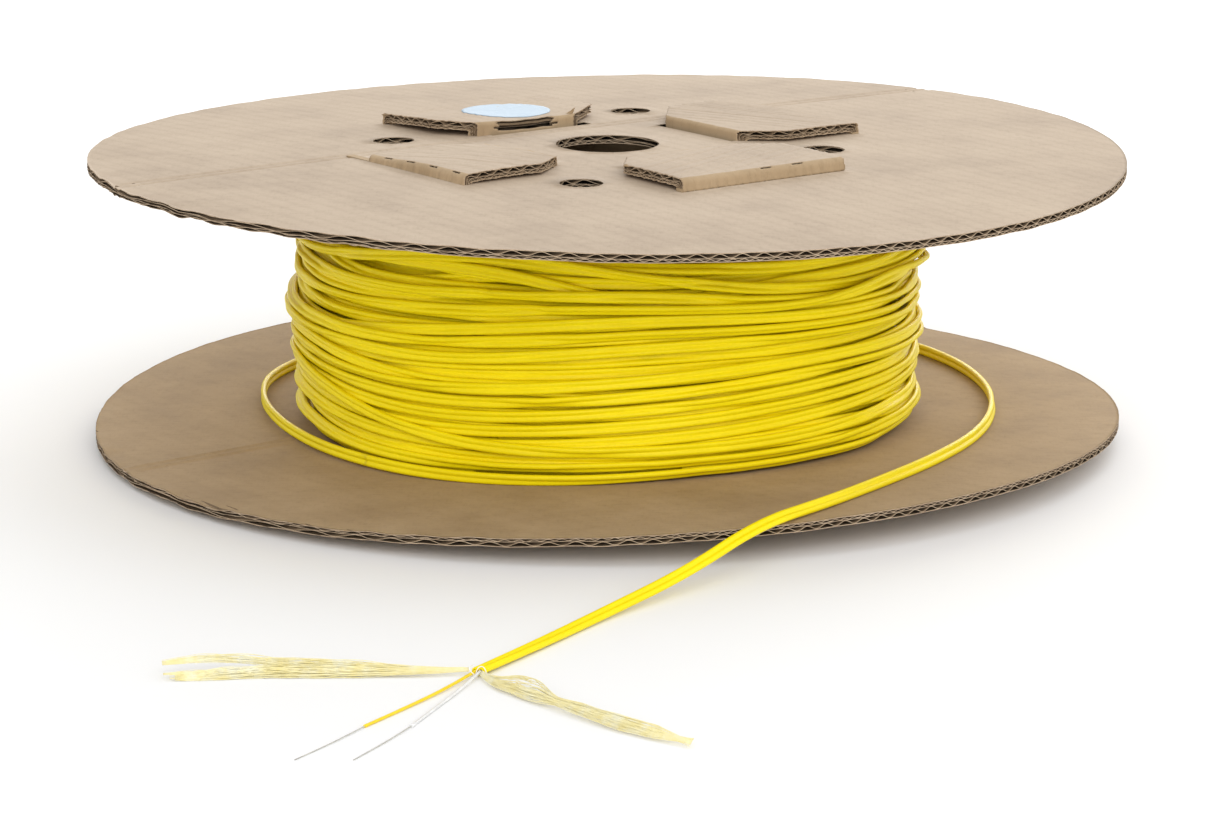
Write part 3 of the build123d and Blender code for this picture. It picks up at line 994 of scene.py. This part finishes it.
def blend_in(state, strand, first, last, low):
    """Keep a new stretch, easing into the one before it so that no step shows."""
    state[first:last] = strand[first - low:last - low]
    if first >= CHUNK_EASE:
        t = smooth_step(0, 1, np.linspace(0, 1, CHUNK_EASE))[:, None]
        overlap = strand[first - low:first - low + CHUNK_EASE]
        step = state[first - 1] - strand[first - 1 - low]
        state[first:first + CHUNK_EASE] = overlap + step * (1 - t)


def add_strand(parts, angle, state, section):
    """Sweep the cable's section along a laid stretch."""
    low_z, low_r, high_z, high_r = state.T
    radial = np.stack([np.cos(angle), np.sin(angle), np.zeros(len(angle))], 1)
    centres = radial * ((low_r + high_r) / 2)[:, None]
    centres[:, 2] = (low_z + high_z) / 2
    across = radial * (high_r - low_r)[:, None]
    across[:, 2] = high_z - low_z
    across /= np.linalg.norm(across, axis=1, keepdims=True)
    sweep(parts, centres, across, np.cross(np.cross([0, 0, 1.0], radial), across), section)


def make_winding(jacket):
    """Every stretch of the wound cable that shows, over a drum of buried turns."""
    pile, column, state = wind_cable()
    shows = pile.shows(column, state[:, 0], state[:, 1]) | pile.shows(column, state[:, 2], state[:, 3])
    near = np.convolve(shows.astype(int), np.ones(2 * SHOWN_REACH + 1, int), mode="same") > 0
    bounds = np.flatnonzero(np.diff(np.concatenate([[0], near.astype(int), [0]])))
    section = cable_section(8)
    parts = Parts()
    for first, last in zip(bounds[::2], bounds[1::2]):
        pick = np.unique(np.append(np.arange(first, last, SHOWN_STEP), last - 1))
        if last - first > 2 * SHOWN_REACH + 4:
            add_strand(parts, column_angle(column[pick]), state[pick], section)
    carry(parts.build("winding_turns", [jacket]), "root", "cable_winding")
    make_drum(jacket, pile)


def make_drum(jacket, pile):
    """The buried turns as ribbed rings, just under the ones that show."""
    rows = np.arange(LOWER_TOP + 1.2, UPPER_BOTTOM - 4, 0.7)
    column = np.arange(0, TURN_SAMPLES, 4)
    a, z = np.meshgrid(column_angle(column), rows, indexing="ij")
    radius = pile.buried[column[:, None], pile.rows(z)] - 0.3 + 0.6 * np.abs(np.sin(math.pi * z / 2.1))
    z = np.clip(z, *pile_limits(a))
    outer = np.stack([radius * np.cos(a), radius * np.sin(a), z], -1)
    inner = np.stack([DRUM_INNER * np.cos(a), DRUM_INNER * np.sin(a), z], -1)
    loop = np.concatenate([outer, inner[:, ::-1]], 1)
    index = np.arange(loop.shape[0] * loop.shape[1]).reshape(loop.shape[:2])
    after = np.roll(index, -1, 0)
    parts = Parts()
    parts.add(loop, quads(index, after, np.roll(after, -1, 1), np.roll(index, -1, 1)))
    carry(parts.build("winding_drum", [jacket]), "root", "cable_winding")


# ---- loose tail and stripped end -------------------------------------------------------------
THREAD_CURLS = [                   # name, route, radius
    ("thread_curl_left", [(-37.9, -290.3, 3.0), (-38.9, -291.6, 3.3), (-38.6, -293.2, 2.3),
                          (-37.2, -293.6, 1.3), (-36.4, -292.6, 0.7)], 0.13),
    ("thread_curl_right", [(-36.9, -292.8, 1.2), (-36.6, -292.2, 2.8), (-35.2, -291.9, 3.4),
                           (-34.2, -292.5, 2.6), (-33.9, -293.4, 1.6)], 0.14),
]


def tail_lean(share):
    """Lean of the flat cable from standing on edge, in radians, along the tail."""
    marks = [0, 0.50, 0.60, 0.70, 0.78, 0.84, 0.90, 0.96, 1]
    return np.radians(np.interp(share, marks, [0, 0, 8, 26, 45, 58, 64, 82, 97]))


def make_tail(jacket):
    line = nurbs_line(TAIL_POINTS, 18)
    across, out = frames(line, -tail_lean(share_along(line)))
    section = cable_section(9)
    parts = Parts()
    sweep(parts, line, across, out, section, caps=False)
    add_cut_end(parts, line[-1], tangents(line)[-1], across[-1], out[-1], section)
    parts.join([np.arange(len(section))[::-1]], flat=True)
    return carry(parts.build("cable_tail_jacket", [jacket]), "root", "cable_tail"), line


def add_cut_end(parts, centre, ahead, across, out, section):
    """Cut face of the jacket: a rim as thick as its wall round a short hollow."""
    count = len(section)
    end = parts.count - count
    lobe = np.where(section[:, :1] >= 0, 1, -1) * np.array([[LOBE_GAP / 2, 0]])
    inner = lobe + (section - lobe) * 0.58
    start = parts.add([centre + ahead * depth + inner[:, :1] * across + inner[:, 1:] * out
                       for depth in (0.0, -1.6)])
    for k in range(count):
        j = (k + 1) % count
        parts.join([[end + j, end + k, start + k, start + j]], flat=True)
        parts.join([[start + j, start + k, start + count + k, start + count + j]])
    parts.join([start + count + np.arange(count)[::-1]], flat=True)


def make_strand(name, points, radius, material, steps=24, sides=12):
    """Round strand along a route, with its own radius at each point."""
    line = nurbs_line(points, steps)
    across, out = frames(line, 0.0)
    parts = Parts()
    sweep(parts, line, across, out, round_section(radius(share_along(line)), sides))
    return parts.build(name, [material]), line


def ringed(share):
    return 0.45 + 0.02 * np.sin(share * 55 * 2 * math.pi / 1.1) * (share > 0.05)


def clear_radius(share):
    return 0.45 + 0.012 * np.sin(share * 90) + 0.05 * smooth_step(0.9, 0.97, share)


def fibre_radius(share):
    return 0.15 - 0.02 * share


def yarn_hairs(line, count, profile, seed, lean, short):
    """Filaments of a yarn: each keeps its place across the bundle and wanders a little. Where short is
    given, those further left than it end early and the others all run to the end."""
    rng = np.random.default_rng(seed)
    share = share_along(line)
    across, out = frames(line, lean)
    hairs = []
    for i in range(count):
        q = np.clip(rng.normal(0, 0.5), -1, 1) if i % 3 else rng.uniform(-1, 1)
        q = q + 0.10 * np.sin(2 * math.pi * (share * rng.uniform(1, 3) + rng.random()))
        q = q + 0.05 * np.sin(2 * math.pi * (share * rng.uniform(4, 9) + rng.random()))
        width, shift = profile(share, np.clip(q, -1.05, 1.05))
        fullness = np.sin(math.pi * np.clip(share * 1.1, 0, 1)) ** 0.5
        thick = rng.uniform(-1, 1) * (0.25 + 0.12 * width) * fullness
        centre = line + across * (q * width + shift)[:, None] + out * thick[:, None]
        centre[:, 2] = np.maximum(centre[:, 2], 0.22)
        start = rng.uniform(0, 0.02)
        end = 1.001 - 0.03 * rng.random() ** 4
        if short is not None and np.mean(q) < short:
            end = rng.uniform(0.955, 0.985)
        elif short is not None:
            end = 1.001
        keep = (share >= start) & (share <= end)
        hairs.append((centre[keep], rng.uniform(0.06, 0.13)))
    return hairs


def make_yarn(name, points, profile, count, seed, lean, short, material):
    line = nurbs_line(points, 16)
    parts = Parts()
    for centre, radius in yarn_hairs(line, count, profile, seed, lean, short):
        if len(centre) > 3:
            across, out = frames(centre, 0.0)
            sweep(parts, centre, across, out, round_section(radius, 5))
    return parts.build(name, [material]), line


def left_profile(share, q):
    marks = [0, 0.08, 0.2, 0.35, 0.5, 0.75, 0.88, 1]
    width = np.interp(share, marks, [0.6, 0.8, 1.5, 2.5, 3.3, 3.6, 3.2, 1.7])
    split = smooth_step(0.58, 0.92, share) * (2.1 if np.mean(q) > 0.2 else -0.9)
    return width, split


def right_profile(share, q):
    marks = [0, 0.06, 0.2, 0.33, 0.43, 0.55, 0.72, 0.86, 0.96, 1]
    width = np.interp(share, marks, [0.5, 0.8, 1.6, 2.2, 1.1, 1.7, 2.1, 1.9, 0.7, 1.2])
    bulge = 5.0 * np.clip(q - 0.55, 0, 0.5) * hill(share, 0.25, 0.1)
    return width, bulge


def make_cords(jacket, yellow, clear, glass, yarn_look, thread):
    tail, tail_line = make_tail(jacket)
    for name, points, radius in THREAD_CURLS:
        curl = make_strand(name, points, lambda share: radius, thread, 10, 8)[0]
        carry(curl, "root", None)
    for name, node, points, radius, material, length, diameter in [
        ("yellow_buffer_tube", "yellow_buffer", YELLOW_BUFFER_POINTS, ringed, yellow, 0.055, 0.0009),
        ("clear_buffer_tube", "clear_buffer", CLEAR_BUFFER_POINTS, clear_radius, clear, 0.0492, 0.0009),
        ("yellow_side_fibre", "yellow_fibre", YELLOW_FIBRE_POINTS, fibre_radius, glass, 0.0334, 0.0003),
        ("clear_side_fibre", "clear_fibre", CLEAR_FIBRE_POINTS, fibre_radius, glass, 0.0321, 0.0003),
    ]:
        strand, line = make_strand(name, points, radius, material)
        carry(strand, "root", node)
    for name, node, points, profile, count, seed, lean, short, length in [
        ("left_yarn_hairs", "left_yarn", LEFT_YARN_POINTS, left_profile, 95, 11, -52, -0.05, 0.0906),
        ("right_yarn_hairs", "right_yarn", RIGHT_YARN_POINTS, right_profile, 90, 12, 52, None, 0.085),
    ]:
        yarn, line = make_yarn(name, points, profile, count, seed, math.radians(lean), short, yarn_look)
        carry(yarn, "root", node)


# ---- the scene -------------------------------------------------------------------------------
FLAP_PLAIN = {"root": (-34.2, 34.2), "tongue": (-21.6, 21.6), "bend": 1.8, "lift": 0.0, "arch": 0.0,
              "curl": 0.0, "crush": 0.0, "slits": [], "torn": None, "tips": [], "seed": 60}
FLAP_STYLES = {
    "upper_flap_back_right": {"root": (-33.8, 34.2), "tongue": (-22.3, 18.0), "lift": 0.1, "arch": 0.3,
                              "bend": 1.2, "seed": 61},
    "upper_flap_back_left": {"root": (-33.5, 36.5), "tongue": (-15.0, 27.0), "lift": 0.35, "arch": 0.2,
                             "curl": 1.1, "bend": 1.2, "torn": (-5.5, 18.0), "seed": 62,
                             "tips": [(42.4, -14.6, 2.6, -1.2, 2.4, -2.4), (81.5, 36.2, 3.6, 3.2, 0.2, 1.2)]},
    "upper_flap_front_left": {"root": (-20.5, 36.0), "tongue": (-14.0, 25.0), "lift": 0.1, "arch": 0.5,
                              "crush": 0.42, "slits": [-10.5, 3.0, 16.5, 29.5], "bend": 2.0, "seed": 63,
                              "tips": [(50.5, 35.8, 3.0, 0.8, 2.6, -2.4)]},
    "upper_flap_front_right": {"root": (-33.8, 35.4), "lift": 0.1, "arch": 0.4, "slits": [2.0, 15.5],
                               "bend": 2.0, "tips": [(56.5, -33.8, 3.4, -0.6, 0.7, -0.6)], "seed": 64},
}


def make_reel():
    top = board_material("board_top", (0.515, 0.415, 0.31), (0.47, 0.372, 0.274), (0.40, 0.31, 0.224), 0.6)
    # the inside liner is darker than the top partly by its own colour and partly as painted shade of the
    # space between the flanges
    inside = board_material("board_inside_and_shade", (0.47, 0.345, 0.215), (0.415, 0.30, 0.18),
                            (0.35, 0.247, 0.145), 0.3)
    # flute paper far darker than the same paper at the cut edges: its own brown deepened by painted shade of
    # the flute channels
    flute_and_shade = flute_material("board_flute_and_shade", (0.235, 0.165, 0.10), (0.12, 0.082, 0.05))
    cut = flute_material("board_cut", (0.53, 0.41, 0.285), (0.31, 0.22, 0.145))
    layout = flange_layout()
    materials = [top, inside, flute_and_shade, cut]
    make_flange("upper_flange", (upper_rise, UPPER_TOP, 1), layout, materials, 0.4)
    make_flange("lower_flange", (lower_rise, LOWER_LOW[2], -1), layout, [inside, *materials[1:]], 2.1)
    places = {}
    for name in JOINTS:
        places[name] = make_flap(name, {**FLAP_PLAIN, **FLAP_STYLES.get(name, {})}, materials)
    make_sticker(places["upper_flap_back_left"], paper_material())
    core = frame["nodes"]["core_strip"]
    core.data.materials.clear()
    core.data.materials.append(inside)


make_camera()
make_studio()
jacket = jacket_material()
make_cords(
    jacket,
    plastic_material("yellow_buffer", (0.90, 0.67, 0.006), (0.84, 0.60, 0.004), 0.35),
    plastic_material("clear_buffer", (0.80, 0.80, 0.79), (0.71, 0.71, 0.70), 0.3, 0.0, 0.2),
    plastic_material("bare_fibre", (0.60, 0.59, 0.52), (0.42, 0.40, 0.35), 0.15, 0.2, 0.0),
    yarn_material(),
    plastic_material("loose_thread", (0.93, 0.92, 0.86), (0.84, 0.82, 0.74), 0.6),
)
make_reel()
make_winding(jacket)
